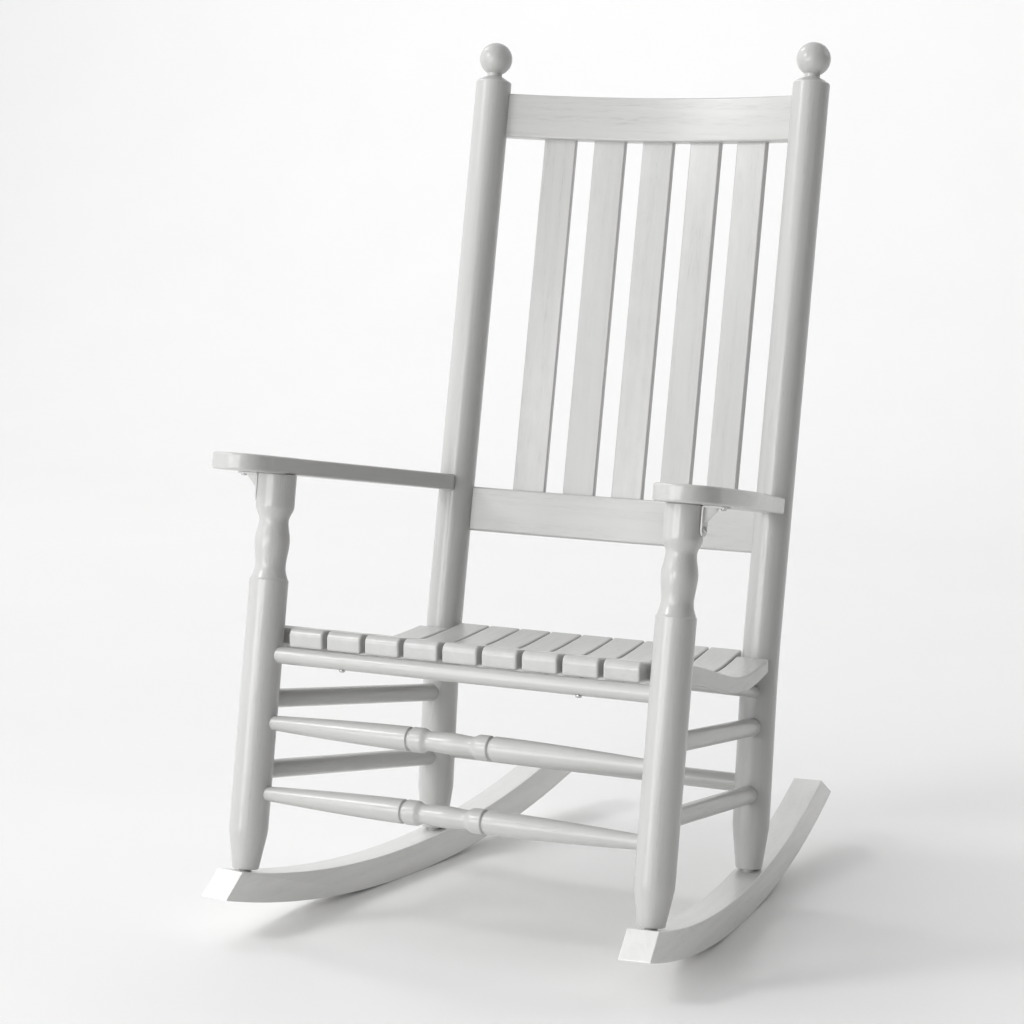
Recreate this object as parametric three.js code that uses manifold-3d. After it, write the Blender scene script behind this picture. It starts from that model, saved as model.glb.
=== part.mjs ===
// Slatted porch rocking chair, painted hardwood. Millimetres, +Z up, the sitter looks along -Y.
// The two sides are mirror images in the plane X = 0. side is +1 for the sitter's left (+X), -1 for the
// right.
import * as THREE from "three";
import { mergeVertices } from "three/addons/utils/BufferGeometryUtils.js";
import Module from "manifold-3d";

const wasm = await Module();
wasm.setup();

const rad = THREE.MathUtils.degToRad;
const SIDES = [1, -1];
const GAP = 0.3; // clearance left between neighbouring pieces
const ROUND = 20; // facets round a post or a stretcher
const ROUND_SMALL = 12; // facets round a screw

// ---- driving dimensions ----
const FRONT_HALF_SPAN = 288; // half the distance between the front post axes
const BACK_HALF_SPAN = 240;
const POST_R = 25.3;

const FRONT_LEAN = rad(10.2); // the posts lean back from the vertical
const BACK_LEAN_LOW = rad(6.3);
const BACK_LEAN_HIGH = rad(11.5);

const SEAT_RAIL_Z = 357; // axis of the front seat rail
const FRONT_POST_Y = -303.7; // front post axis at that height
const BEND_Z = 319; // the back posts bend here
const BACK_POST_Y = 95; // back post axis at the bend
const BEND_LENGTH = 120;

// Rockers: each arc is given in the rocker's own upright plane.
const CONTACT_Y = -22; // where the rockers touch the floor
const ROCKER_R = 1405;
const ROCKER_TOP_R = 1345;
const ROCKER_TOP_SHIFT = -12; // the top arc's centre lies this far in front of the bottom arc's
const ROCKER_DEPTH = 40.5; // least depth from top to bottom
const ROCKER_WIDTH = 41;
const ROCKER_REACH = 420.5; // front and rear tips of the rockers, from the origin
const ROCKER_FRONT_CUT = 34.5; // how far the slanted end cuts run in above the tips
const ROCKER_REAR_CUT = 56.5;
const ROCKER_FACET = 20; // length of one flat step of the underside; the middle one lies on the floor
const ROCKER_TOP_STEPS = 24;

const FOOT_R = 17;
const FOOT_FLARE = 50; // a post swells from its foot to its full size over this length
const FRONT_FOOT_LIFT = 3.4; // foot centre above the rocker, so that its edge just clears
const BACK_FOOT_LIFT = 3.7;
const TENON_R = 8;
const TENON_DEPTH = 22;

// Seat
const SEAT_FRONT_Y = -305;
const SEAT_REAR_Y = 99;
const OUTER_SLAT_FRONT_Y = -274;
const OUTER_SLAT_REAR_Y = 69;
const SLAT_PITCH_FRONT = 55.9;
const SLAT_PITCH_REAR = 47.5;
const SLAT_WIDTH_FRONT = 49;
const SLAT_WIDTH_REAR = 45.5;
const SLAT_THICK_FRONT = 25.4;
const SLAT_THICK_REAR = 18;
const NOSING_R = 10;
const INNER_SLATS = 4; // whole slats on each side of the middle one

// Rails, stretchers: radius and the heights at which their axes meet the post axes
const FRONT_RAIL_R = 11;
const REAR_RAIL_R = 10.5;
const REAR_RAIL_Z = 307;
const SIDE_RAIL_R = 8;
const SIDE_RAIL_Z = { front: 374, back: 282 };
const STRETCHER_R = 12.3;
const FRONT_STRETCHER_END_R = 9.5;
const BEAD_SHIFT = -2.2; // the turned beads sit a little off the middle
const SIDE_STRETCHERS_Z = { upper: { front: 299, back: 237 }, lower: { front: 208, back: 147.3 } };
const FRONT_STRETCHERS_Z = { upper: 270.5, lower: 180.5 };
const REAR_STRETCHER_Z = 159.5;
const SOCKET_DEPTH = 14; // how far a round end goes into a post; more, and two of them would meet inside it

// Back
const BOW = 30; // how far the rails curve back at the middle
const RAIL_THICK = 22;
const RAIL_STEPS = 20; // flat steps along the bow
const RAIL_BACK = RAIL_THICK / 2; // the rails' mid plane lies this far behind the post axes
const TOP_RAIL = { bottom: 705.3, top: 766.2 }; // measured up the post from the bend
const LOWER_RAIL = { bottom: 148, top: 209.5 };
const RAIL_END_DEPTH = 12; // how far a rail's end goes into a post
const BACK_SLAT_PITCH = 73;
const BACK_SLAT_WIDTH = 46.5;
const BACK_SLAT_SHIFT = 3.8; // the row of slats sits a little off the middle
const BACK_SLAT_THICK = 10;
const BACK_SLAT_SET_BACK = 4; // behind the rails' mid plane
const BACK_SLAT_DEPTH = 14; // how far a slat's end goes into a rail
const SHOULDER_ALONG = 781.5; // where a back post ends below its ball
const BALL_ALONG = 814;
const BALL_R = 23;
const BALL_NECK_R = 10.4;

// Arms
const ARM_TILT = rad(9.9); // front up, close to square to the front posts
const ARM_THICK = 22;
const ARM_NOSE_X = 310.5;
const ARM_NOSE_R = 43;
const ARM_NOSE_ALONG = -43; // from the front post axis, along the arm
const ARM_END_INNER_X = 229;
const ARM_END_OUTER_X = 266;
const ARM_WAIST = { share: 0.62, innerX: 243, outerX: 296 }; // where its long curves are steered from
const ARM_SWELL_SHARE = 0.28;
const ARM_UNDERSIDE = 511.5; // up the front post from its foot
const ARM_TENON = { r: 10, depth: 12 };

// Steel fittings
const BRACE = { width: 17, thick: 2.4, reach: 34, drop: 38, web: 8, webShare: 0.6 };
const BRACE_OFFSET = 25 + GAP; // from the front post axis to the brace's corner
const BRACE_SCREW = { headR: 4.2, headHeight: 2.4, shankR: 2, length: 15 };
const ARM_SCREW = { headR: 5.5, headHeight: 3, shankR: 2.8, length: 95 };
const SEAT_SCREW = { headR: 4.2, headHeight: 2.6, shankR: 2, length: 36 };
const SEAT_SCREW_LEAN = rad(20);
const SCREWED_SLAT = 3; // the third slat each way from the middle is screwed to the front rail

// ---- colours ----
const paint = { color: 0xdcdcd8, roughness: 0.42, metalness: 0 };
const shadedPaint = { color: 0xd2d2ce, roughness: 0.42, metalness: 0 };
const paintedSteel = { color: 0xd6d6d2, roughness: 0.38, metalness: 0.1 };
const zinc = { color: 0xa7a9ac, roughness: 0.35, metalness: 0.9 };

const v3 = (x, y, z) => new THREE.Vector3(x, y, z);
const UP = v3(0, 0, 1);
const chair = new THREE.Group();
chair.name = "rocking_chair";

// ---- solids ----
function solidOf(geometry, matrix = new THREE.Matrix4()) {
  const bare = geometry.clone().applyMatrix4(matrix);
  bare.deleteAttribute("normal");
  bare.deleteAttribute("uv");
  const merged = mergeVertices(bare, 1e-3);
  const mesh = new wasm.Mesh({
    numProp: 3,
    vertProperties: new Float32Array(merged.attributes.position.array),
    triVerts: new Uint32Array(merged.index.array),
  });
  return new wasm.Manifold(mesh);
}

function geometryOf(solid) {
  const mesh = solid.getMesh();
  const geometry = new THREE.BufferGeometry();
  geometry.setAttribute("position", new THREE.BufferAttribute(new Float32Array(mesh.vertProperties), 3));
  geometry.setIndex(new THREE.BufferAttribute(new Uint32Array(mesh.triVerts), 1));
  const flat = geometry.toNonIndexed();
  flat.computeVertexNormals();
  return flat;
}

function piece(name, geometry, look, parent = chair) {
  const mesh = new THREE.Mesh(geometry, new THREE.MeshStandardMaterial(look));
  mesh.name = name;
  parent.add(mesh);
  return mesh;
}

// Holes wait here until every piece is placed: for each piece, the shapes to cut from it,
// given in the chair's own coordinates.
const cutters = new Map();
function cutLater(host, geometry) {
  if (!cutters.has(host)) cutters.set(host, []);
  cutters.get(host).push(geometry);
}

function cutAll() {
  chair.updateMatrixWorld(true);
  for (const [host, geometries] of cutters) {
    const inverse = host.matrixWorld.clone().invert();
    let body = solidOf(host.geometry);
    for (const geometry of geometries) body = body.subtract(solidOf(geometry, inverse));
    host.geometry = geometryOf(body);
  }
}

const sideName = (stem, side) => stem + (side > 0 ? "_left" : "_right");

// ---- shapes ----
// Turned shape on the Z axis. The profile lists [distance up the axis, radius].
function turned(profile, segments = ROUND) {
  const points = profile.map(([along, r]) => new THREE.Vector2(r, along));
  points.unshift(new THREE.Vector2(0, profile[0][0]));
  points.push(new THREE.Vector2(0, profile[profile.length - 1][0]));
  return new THREE.LatheGeometry(points, segments).rotateX(Math.PI / 2);
}

// Points between two stations whose radius eases smoothly from one to the other.
function eased([a0, r0], [a1, r1], steps = 3) {
  return Array.from({ length: steps + 1 }, (_, i) => {
    const t = i / steps;
    return [THREE.MathUtils.lerp(a0, a1, t), THREE.MathUtils.lerp(r0, r1, (1 - Math.cos(Math.PI * t)) / 2)];
  });
}

// Turns a shape on the Z axis so that it starts at one point and points at another.
function aim(geometry, from, to) {
  const turn = new THREE.Quaternion().setFromUnitVectors(UP, to.clone().sub(from).normalize());
  return geometry.applyQuaternion(turn).translate(from.x, from.y, from.z);
}

function dowel(from, to, r, segments = ROUND) {
  const length = from.distanceTo(to);
  return aim(turned([[0, r], [length, r]], segments), from, to);
}

// A prism whose outline is drawn in the YZ plane, spread over X by spread(unit, y), with unit from -1/2
// to 1/2.
function acrossX(outline, spread) {
  const flat = { depth: 1, bevelEnabled: false };
  const geometry = new THREE.ExtrudeGeometry(new THREE.Shape(outline), flat);
  const position = geometry.attributes.position;
  for (let i = 0; i < position.count; i++) {
    const y = position.getX(i);
    const z = position.getY(i);
    position.setXYZ(i, spread(position.getZ(i) - 0.5, y), y, z);
  }
  return geometry;
}

function box(x0, x1, y0, y1, z0, z1) {
  const geometry = new THREE.BoxGeometry(x1 - x0, y1 - y0, z1 - z0);
  return geometry.translate((x0 + x1) / 2, (y0 + y1) / 2, (z0 + z1) / 2);
}

// ---- axes of the posts ----
function frontAxis(side, z) {
  return v3(side * FRONT_HALF_SPAN, FRONT_POST_Y + Math.tan(FRONT_LEAN) * (z - SEAT_RAIL_Z), z);
}

function backAxis(side, z) {
  const lean = z < BEND_Z ? BACK_LEAN_LOW : BACK_LEAN_HIGH;
  return v3(side * BACK_HALF_SPAN, BACK_POST_Y + Math.tan(lean) * (z - BEND_Z), z);
}

// Unit directions up along something that leans back, and square to it towards the rear.
const upAlong = (lean) => v3(0, Math.sin(lean), Math.cos(lean));
const rearAlong = (lean) => v3(0, Math.cos(lean), -Math.sin(lean));

// A point given by its distance up the leaning back and its distance behind the post axes.
const alongBack = upAlong(BACK_LEAN_HIGH);
const behindBack = rearAlong(BACK_LEAN_HIGH);
function onBack(x, along, behind) {
  return v3(x, BACK_POST_Y, BEND_Z).addScaledVector(alongBack, along).addScaledVector(behindBack, behind);
}

// ---- rockers ----
// Heights at a run along the rocker from the place where it touches the floor.
const drop = (r, run) => Math.sqrt(r ** 2 - run ** 2); // depth of an arc's point below its centre
const rockerBottomZ = (run) => drop(ROCKER_R, ROCKER_FACET / 2) - drop(ROCKER_R, run);
const rockerTopZ = (run) => ROCKER_DEPTH + ROCKER_TOP_R - drop(ROCKER_TOP_R, run - ROCKER_TOP_SHIFT);

// The feet stand on the rockers, and the rockers toe in to pass under both feet: each depends on the other.
function placeFeet() {
  let front = frontAxis(1, 0);
  let back = backAxis(1, 0);
  let toeIn = 0;
  for (let i = 0; i < 8; i++) {
    front = frontAxis(1, rockerTopZ((front.y - CONTACT_Y) / Math.cos(toeIn)) + FRONT_FOOT_LIFT);
    back = backAxis(1, rockerTopZ((back.y - CONTACT_Y) / Math.cos(toeIn)) + BACK_FOOT_LIFT);
    toeIn = Math.atan2(front.x - back.x, back.y - front.y);
  }
  return { front, back, toeIn };
}
const { front: frontFoot, back: backFoot, toeIn } = placeFeet();
const frontFootZ = frontFoot.z;
const backFootZ = backFoot.z;

function rockerOutline() {
  const corner = (ROCKER_WIDTH / 2) * Math.sin(toeIn);
  const frontTip = (corner - ROCKER_REACH - CONTACT_Y) / Math.cos(toeIn);
  const rearTip = (ROCKER_REACH - corner - CONTACT_Y) / Math.cos(toeIn);
  const bottom = [];
  for (let run = ROCKER_FACET / 2; run < rearTip; run += ROCKER_FACET) bottom.push(run);
  for (let run = -ROCKER_FACET / 2; run > frontTip; run -= ROCKER_FACET) bottom.unshift(run);
  bottom.unshift(frontTip);
  bottom.push(rearTip);
  const top = Array.from({ length: ROCKER_TOP_STEPS + 1 }, (_, i) => (
    THREE.MathUtils.lerp(rearTip - ROCKER_REAR_CUT, frontTip + ROCKER_FRONT_CUT, i / ROCKER_TOP_STEPS)
  ));
  return [
    ...bottom.map((run) => new THREE.Vector2(run, rockerBottomZ(run))),
    ...top.map((run) => new THREE.Vector2(run, rockerTopZ(run))),
  ];
}

// The hole in a rocker for the tenon under a post.
const tenonHole = (foot, up) => dowel(
  foot.clone().addScaledVector(up, -TENON_DEPTH - GAP),
  foot.clone().addScaledVector(up, GAP),
  TENON_R + GAP,
);

function rocker(side) {
  const geometry = acrossX(rockerOutline(), (unit) => unit * ROCKER_WIDTH);
  const mesh = piece(sideName("rocker", side), geometry, shadedPaint);
  mesh.rotation.z = side * toeIn;
  const run = (CONTACT_Y - frontFoot.y) / (backFoot.y - frontFoot.y);
  mesh.position.set(side * THREE.MathUtils.lerp(frontFoot.x, backFoot.x, run), CONTACT_Y, 0);
  cutLater(mesh, tenonHole(frontAxis(side, frontFootZ), upAlong(FRONT_LEAN)));
  cutLater(mesh, tenonHole(backAxis(side, backFootZ), upAlong(BACK_LEAN_LOW)));
}

// ---- posts ----
// The turned upper part of a front post, from its body to the capital under the arm: [up the post, radius].
const EDGE = 1.5; // the small bevel at the top of the plain body
const CAPITAL_R = 25;
const FRONT_POST_TURNING = [[374, POST_R - EDGE], [393, 20], [424, 22.8], [451, 19.2], [470, CAPITAL_R]];

function frontPost(side) {
  const profile = [
    [-TENON_DEPTH, TENON_R],
    [0, TENON_R],
    [0, FOOT_R],
    [FOOT_FLARE, POST_R],
    [FRONT_POST_TURNING[0][0] - EDGE, POST_R],
    ...FRONT_POST_TURNING.slice(0, 1),
    ...FRONT_POST_TURNING.slice(1).flatMap((to, i) => eased(FRONT_POST_TURNING[i], to).slice(1)),
    [ARM_UNDERSIDE - GAP, CAPITAL_R],
    [ARM_UNDERSIDE - GAP, ARM_TENON.r],
    [ARM_UNDERSIDE + ARM_TENON.depth, ARM_TENON.r],
  ];
  const mesh = piece(sideName("front_post", side), turned(profile), paint);
  mesh.position.copy(frontAxis(side, frontFootZ));
  mesh.rotation.x = -FRONT_LEAN;
  return mesh;
}

const BACK_POST_R = POST_R - 0.5;
const SHOULDER_RISE = 6.5;
const BALL_STEPS = 8;
const BALL_TOP_ANGLE = 0.12; // leaves a small flat on top of the ball
const BEND_STEPS = 5;
const LOWER_LENGTH = (BEND_Z - backFootZ) / Math.cos(BACK_LEAN_LOW);

// Bends a straight post on the Z axis to the two leans, easing between them over BEND_LENGTH.
function bendPost(geometry) {
  const position = geometry.attributes.position;
  const start = LOWER_LENGTH - BEND_LENGTH / 2;
  const turn = BACK_LEAN_HIGH - BACK_LEAN_LOW;
  const bendR = BEND_LENGTH / turn;
  for (let i = 0; i < position.count; i++) {
    const along = position.getZ(i);
    const bent = THREE.MathUtils.clamp(along - start, 0, BEND_LENGTH);
    const past = Math.max(0, along - start - BEND_LENGTH);
    const angle = bent / bendR;
    const before = Math.min(along, start);
    // position of the axis, and the offset that is square to it
    const y = bendR * (1 - Math.cos(angle)) + past * Math.sin(angle) + position.getY(i) * Math.cos(angle);
    const z = before + bendR * Math.sin(angle) + past * Math.cos(angle) - position.getY(i) * Math.sin(angle);
    position.setXYZ(i, position.getX(i), y, z);
  }
  return geometry;
}

function backPost(side) {
  const start = LOWER_LENGTH - BEND_LENGTH / 2;
  const bendAt = (i) => start + (BEND_LENGTH * i) / BEND_STEPS;
  const bend = Array.from({ length: BEND_STEPS + 1 }, (_, i) => [bendAt(i), BACK_POST_R]);
  const shoulder = LOWER_LENGTH + SHOULDER_ALONG;
  const ball = LOWER_LENGTH + BALL_ALONG;
  const ballStart = Math.PI - Math.asin(BALL_NECK_R / BALL_R);
  const ballProfile = Array.from({ length: BALL_STEPS + 1 }, (_, i) => {
    const angle = THREE.MathUtils.lerp(ballStart, BALL_TOP_ANGLE, i / BALL_STEPS);
    return [ball + BALL_R * Math.cos(angle), BALL_R * Math.sin(angle)];
  });
  const profile = [
    [-TENON_DEPTH, TENON_R],
    [0, TENON_R],
    [0, FOOT_R],
    [FOOT_FLARE, BACK_POST_R],
    ...bend,
    [shoulder - EDGE, BACK_POST_R],
    [shoulder, BACK_POST_R - EDGE],
    [shoulder + SHOULDER_RISE, BALL_NECK_R + EDGE],
    [shoulder + SHOULDER_RISE + EDGE, BALL_NECK_R],
    ...ballProfile,
  ];
  const mesh = piece(sideName("back_post", side), bendPost(turned(profile)), paint);
  mesh.position.copy(backAxis(side, backFootZ));
  mesh.rotation.x = -BACK_LEAN_LOW;
  return mesh;
}

// ---- seat ----
const seatTop = new THREE.SplineCurve([
  new THREE.Vector2(SEAT_FRONT_Y + NOSING_R, 393.8),
  new THREE.Vector2(-232, 380.8),
  new THREE.Vector2(-150, 357.5),
  new THREE.Vector2(-76, 337),
  new THREE.Vector2(0, 329.1),
  new THREE.Vector2(SEAT_REAR_Y, 336.5),
]);
const seatTopPoints = seatTop.getPoints(60);

function seatTopZ(y) {
  const next = seatTopPoints.findIndex((p) => p.x >= y);
  if (next <= 0) return next === 0 ? seatTopPoints[0].y : seatTopPoints[seatTopPoints.length - 1].y;
  const [a, b] = [seatTopPoints[next - 1], seatTopPoints[next]];
  return THREE.MathUtils.mapLinear(y, a.x, b.x, a.y, b.y);
}
const seatShare = (y) => THREE.MathUtils.inverseLerp(SEAT_FRONT_Y, SEAT_REAR_Y, y);
const slatPitch = (y) => THREE.MathUtils.lerp(SLAT_PITCH_FRONT, SLAT_PITCH_REAR, seatShare(y));
const slatWidth = (y) => THREE.MathUtils.lerp(SLAT_WIDTH_FRONT, SLAT_WIDTH_REAR, seatShare(y));
const slatThick = (y) => THREE.MathUtils.lerp(SLAT_THICK_FRONT, SLAT_THICK_REAR, seatShare(y));

function slatOutline(frontY, rearY, steps) {
  const bottom = [];
  const top = [];
  for (let i = 0; i <= steps; i++) {
    const y = THREE.MathUtils.lerp(frontY, rearY, i / steps);
    bottom.push(new THREE.Vector2(y, seatTopZ(y) - slatThick(y)));
    const back = THREE.MathUtils.lerp(rearY, frontY + NOSING_R, i / steps);
    top.push(new THREE.Vector2(back, seatTopZ(back)));
  }
  const nosing = Array.from({ length: 4 }, (_, i) => {
    const angle = (Math.PI / 2) * ((i + 1) / 4);
    const crest = seatTopZ(frontY + NOSING_R);
    const y = frontY + NOSING_R * (1 - Math.sin(angle));
    return new THREE.Vector2(y, crest - NOSING_R * (1 - Math.cos(angle)));
  });
  return [...bottom, ...top, ...nosing];
}

// index counts from the middle slat: -5 and 5 are the short ones beside the posts
function seatSlat(index) {
  const isShort = Math.abs(index) > INNER_SLATS;
  const outline = isShort
    ? slatOutline(OUTER_SLAT_FRONT_Y, OUTER_SLAT_REAR_Y, 14)
    : slatOutline(SEAT_FRONT_Y, SEAT_REAR_Y, 16);
  const spread = (unit, y) => index * slatPitch(y) + unit * slatWidth(y);
  return piece("seat_slat_" + (index + INNER_SLATS + 2), acrossX(outline, spread), paint);
}

// ---- back ----
const railHalfSpan = BACK_HALF_SPAN - POST_R + RAIL_END_DEPTH;
const bowR = (railHalfSpan ** 2 + BOW ** 2) / (2 * BOW);
const bowAt = (x) => Math.sqrt(bowR ** 2 - x ** 2) - (bowR - BOW);

// Lays a straight block, given as (across, up the back, depth forward of its middle), on the leaning,
// bowed back.
function layOnBack(geometry) {
  const position = geometry.attributes.position;
  for (let i = 0; i < position.count; i++) {
    const x = position.getX(i);
    const placed = onBack(x, position.getY(i), RAIL_BACK + bowAt(x) - position.getZ(i));
    position.setXYZ(i, placed.x, placed.y, placed.z);
  }
  return geometry;
}

function bowedRailGeometry({ bottom, top }, clearance) {
  const length = 2 * (railHalfSpan + clearance);
  const height = top - bottom + 2 * clearance;
  const block = new THREE.BoxGeometry(length, height, RAIL_THICK + 2 * clearance, RAIL_STEPS, 1, 1);
  return layOnBack(block.translate(0, (bottom + top) / 2, 0));
}

function bowedRail(name, extent, posts) {
  const mesh = piece(name, bowedRailGeometry(extent, 0), paint);
  for (const post of posts) cutLater(post, bowedRailGeometry(extent, GAP));
  return mesh;
}

// Each slat is flat, and turned to face along the bow. index runs from -2 to 2.
function backSlatGeometry(index, clearance) {
  const middle = index * BACK_SLAT_PITCH + BACK_SLAT_SHIFT;
  const half = BACK_SLAT_WIDTH / 2 + clearance;
  const bottom = LOWER_RAIL.top - BACK_SLAT_DEPTH - clearance;
  const top = TOP_RAIL.bottom + BACK_SLAT_DEPTH + clearance;
  const geometry = box(-half, half, bottom, top, -1 / 2, 1 / 2);
  const facing = Math.asin(middle / bowR);
  const setBack = RAIL_BACK + BACK_SLAT_SET_BACK + bowAt(middle);
  const position = geometry.attributes.position;
  for (let i = 0; i < position.count; i++) {
    const across = position.getX(i);
    const deep = -position.getZ(i) * (BACK_SLAT_THICK + 2 * clearance);
    const x = middle + across * Math.cos(facing) + deep * Math.sin(facing);
    const behind = setBack - across * Math.sin(facing) + deep * Math.cos(facing);
    const placed = onBack(x, position.getY(i), behind);
    position.setXYZ(i, placed.x, placed.y, placed.z);
  }
  return geometry;
}

function backSlat(index, rails) {
  const mesh = piece("back_slat_" + (index + 3), backSlatGeometry(index, 0), paint);
  for (const rail of rails) cutLater(rail, backSlatGeometry(index, GAP));
  return mesh;
}

// ---- stretchers and round rails ----
// The ends of a bar between two post axes, stopping SOCKET_DEPTH inside the posts.
function socketed(from, to, clearance = 0) {
  const inset = POST_R - SOCKET_DEPTH - clearance;
  const direction = to.clone().sub(from).normalize();
  return [from.clone().addScaledVector(direction, inset), to.clone().addScaledVector(direction, -inset)];
}

// A plain round bar between two posts. Whatever else it passes through is a host too.
function bar(name, from, to, r, look, hosts) {
  const mesh = piece(name, dowel(...socketed(from, to), r), look);
  for (const host of hosts) cutLater(host, dowel(...socketed(from, to, GAP), r + GAP));
  return mesh;
}

// From the middle out: a bulge, a neck, a ring and a groove, then a long taper that ends at the post.
const BEADS = [
  ...eased([0, 13.7], [27, 13.1]),
  ...eased([27, 13.1], [39, 15.7]).slice(1),
  [53.5, 15.7],
  [55.5, 15],
  [56.5, 13],
  [58.5, 13],
  [59.5, 15],
  [61, 15.8],
  [210, 12.1],
  [238, 10.8],
];

function frontStretcher(name, z, posts) {
  const from = frontAxis(-1, z);
  const to = frontAxis(1, z);
  const [start, end] = socketed(from, to);
  const length = start.distanceTo(end);
  const middle = length / 2 + BEAD_SHIFT;
  const r = FRONT_STRETCHER_END_R;
  const profile = [
    [0, r],
    [SOCKET_DEPTH, r],
    ...BEADS.slice(1).reverse().map(([along, beadR]) => [middle - along, beadR]),
    ...BEADS.map(([along, beadR]) => [middle + along, beadR]),
    [length - SOCKET_DEPTH, r],
    [length, r],
  ];
  const mesh = piece(name, aim(turned(profile), start, end), paint);
  for (const post of posts) cutLater(post, dowel(...socketed(from, to, GAP), r + GAP));
  return mesh;
}

// ---- arms ----
// The arm's frame: its origin is where the front post's axis meets the underside; along runs to the rear.
const armUp = upAlong(ARM_TILT);
const armAlong = rearAlong(ARM_TILT);
const armSeat = frontAxis(1, frontFootZ).setX(0).addScaledVector(upAlong(FRONT_LEAN), ARM_UNDERSIDE);
const onArm = (x, along, up) => (
  armSeat.clone().setX(x).addScaledVector(armAlong, along).addScaledVector(armUp, up)
);

// Where the arm's end stops, just short of the front of the back post at both its faces.
function armEndAlong() {
  const reach = (up) => {
    const toAxes = v3(0, BACK_POST_Y, BEND_Z).sub(onArm(0, 0, up)).dot(behindBack);
    return (toAxes - POST_R) / armAlong.dot(behindBack);
  };
  return Math.min(reach(0), reach(ARM_THICK)) - GAP;
}
const ARM_END = armEndAlong();

function armShape(side) {
  const shape = new THREE.Shape();
  const inner = ARM_NOSE_X - ARM_NOSE_R;
  const outer = ARM_NOSE_X + ARM_NOSE_R;
  shape.moveTo(side * ARM_END_INNER_X, ARM_END);
  const waist = ARM_END * ARM_WAIST.share;
  const swell = ARM_END * ARM_SWELL_SHARE;
  shape.bezierCurveTo(side * ARM_WAIST.innerX, waist, side * inner, swell, side * inner, ARM_NOSE_ALONG);
  if (side > 0) shape.absarc(ARM_NOSE_X, ARM_NOSE_ALONG, ARM_NOSE_R, Math.PI, 2 * Math.PI, false);
  else shape.absarc(-ARM_NOSE_X, ARM_NOSE_ALONG, ARM_NOSE_R, 0, -Math.PI, true);
  shape.bezierCurveTo(side * outer, swell, side * ARM_WAIST.outerX, waist, side * ARM_END_OUTER_X, ARM_END);
  shape.closePath();
  return shape;
}

function arm(side) {
  const flat = { depth: ARM_THICK, bevelEnabled: false, curveSegments: 12 };
  const mesh = piece(sideName("arm", side), new THREE.ExtrudeGeometry(armShape(side), flat), paint);
  mesh.position.copy(armSeat);
  mesh.rotation.x = -ARM_TILT;
  const x = side * FRONT_HALF_SPAN;
  cutLater(mesh, dowel(onArm(x, 0, -GAP), onArm(x, 0, ARM_TENON.depth + GAP), ARM_TENON.r + GAP));
  return mesh;
}

// ---- screws ----
// The head's radius at its flat crown and half way down, and the shank's at its point, as shares.
const HEAD_CROWN = 0.6;
const HEAD_BROW = 0.93;
const SCREW_POINT = 0.3;

// A pan head screw: the head rests at seat, and the shank runs in along inward.
function screw(name, seat, inward, { headR, headHeight, shankR, length }, hosts) {
  const place = (profile) => aim(turned(profile, ROUND_SMALL), seat, seat.clone().add(inward));
  const profile = [
    [-headHeight, headR * HEAD_CROWN],
    [-headHeight / 2, headR * HEAD_BROW],
    [0, headR],
    [0, shankR],
    [length - shankR, shankR],
    [length, shankR * SCREW_POINT],
  ];
  for (const host of hosts) cutLater(host, place([[-GAP, shankR + GAP], [length + GAP, shankR + GAP]]));
  return piece(name, place(profile), zinc);
}

// ---- steel corner braces ----
// A strap with a round end, its hole still to be cut, lying flat from the origin along +X.
function strap(length) {
  const { width, thick } = BRACE;
  const shape = new THREE.Shape();
  shape.moveTo(0, -width / 2);
  shape.absarc(length - width / 2, 0, width / 2, -Math.PI / 2, Math.PI / 2, false);
  shape.lineTo(0, width / 2);
  shape.closePath();
  return new THREE.ExtrudeGeometry(shape, { depth: thick, bevelEnabled: false, curveSegments: 8 });
}

// One leg lies under the arm, the other runs down the outside of the front post, and a web stiffens the
// corner.
function brace(side) {
  const { thick, reach, drop, web, webShare } = BRACE;
  const top = strap(reach).translate(0, 0, -thick);
  const leg = strap(drop).rotateY(Math.PI / 2);
  const corner = new THREE.Shape();
  corner.moveTo(thick / 2, -thick / 2);
  corner.lineTo(thick / 2, -drop * webShare);
  corner.quadraticCurveTo(drop / 4, -drop / 5, reach * webShare, -thick / 2);
  corner.closePath();
  const ridge = new THREE.ExtrudeGeometry(corner, { depth: web, bevelEnabled: false, curveSegments: 5 });
  ridge.rotateX(Math.PI / 2).translate(0, web / 2, 0);
  const body = solidOf(top).add(solidOf(leg)).add(solidOf(ridge));
  const mesh = piece(sideName("arm_brace", side), geometryOf(body), paintedSteel);
  mesh.position.copy(onArm(side * (FRONT_HALF_SPAN + BRACE_OFFSET), 0, -GAP));
  mesh.rotation.x = -ARM_TILT;
  if (side < 0) mesh.rotateZ(Math.PI);
  return mesh;
}

function braceScrews(side, steel, wood) {
  const { thick, reach, drop, width } = BRACE;
  const outside = FRONT_HALF_SPAN + BRACE_OFFSET;
  const armSide = onArm(side * (outside + reach - width / 2), 0, -GAP - thick - GAP);
  screw(sideName("brace_screw_upper", side), armSide, armUp, BRACE_SCREW, [steel, wood.arm]);
  const postSide = onArm(side * (outside + thick + GAP), 0, -GAP - drop + width / 2);
  screw(sideName("brace_screw_lower", side), postSide, v3(-side, 0, 0), BRACE_SCREW, [steel, wood.post]);
}

// ---- assembly ----
SIDES.forEach(rocker);
const frontPosts = SIDES.map(frontPost);
const backPosts = SIDES.map(backPost);
const arms = SIDES.map(arm);
const slats = [];
for (let index = -INNER_SLATS - 1; index <= INNER_SLATS + 1; index++) slats.push(seatSlat(index));

const backRails = [
  bowedRail("top_rail", TOP_RAIL, backPosts),
  bowedRail("lower_back_rail", LOWER_RAIL, backPosts),
];
for (let index = -2; index <= 2; index++) backSlat(index, backRails);

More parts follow.
